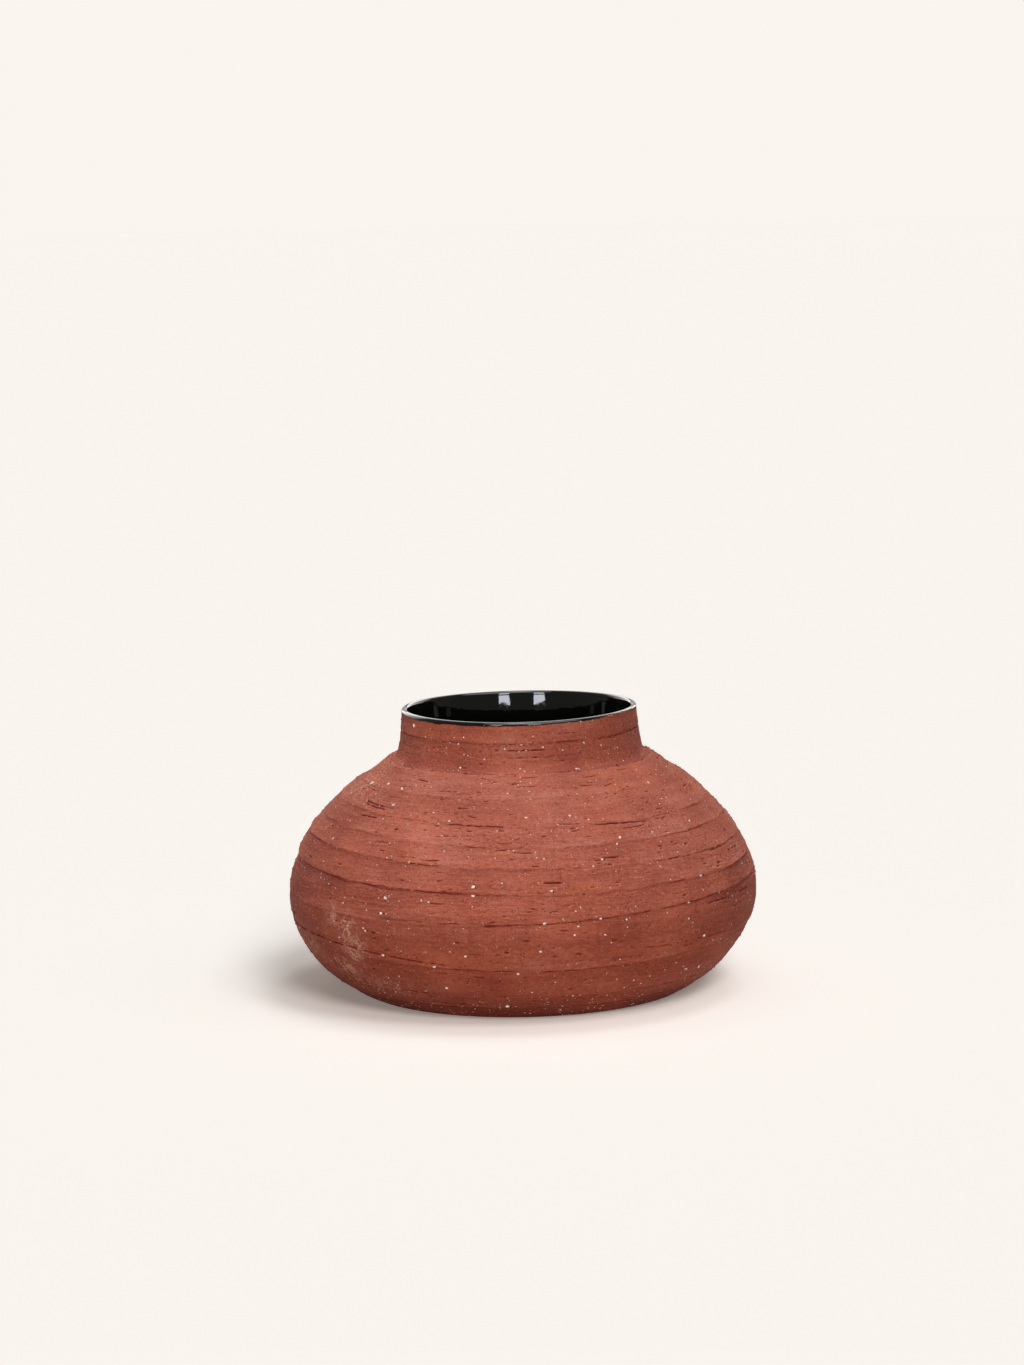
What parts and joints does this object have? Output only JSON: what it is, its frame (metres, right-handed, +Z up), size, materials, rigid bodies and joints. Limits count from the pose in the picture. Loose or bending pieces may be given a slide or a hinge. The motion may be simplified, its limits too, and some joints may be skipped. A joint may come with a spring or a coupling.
{
  "type": "terracotta vase",
  "caption": "Squat round terracotta vase with a short wide neck, coil-built unglazed wall and a glossy dark glaze lining that runs over the lip.",
  "frame": {"origin": "centre of the standing ring, on the surface the vase stands on", "axes": "+Z up along the vase's axis through the mouth; -Y is the side that faces the camera in the picture"},
  "size_m": [0.2596, 0.2592, 0.1585],
  "materials": {
    "clay": "matte",
    "foot_clay": "matte",
    "glaze": "gloss"
  },
  "bodies": {
    "root": {"base_slab": "foot_clay", "body_coil_1": "clay", "body_coil_2": "clay", "body_coil_3": "clay", "body_coil_4": "clay", "body_coil_5": "clay", "body_coil_6": "clay", "body_coil_7": "clay", "body_coil_8": "clay", "body_coil_9": "clay", "neck_coil": "clay", "rim_coil": "clay", "glaze_lining": "glaze"}
  },
  "joints": []
}
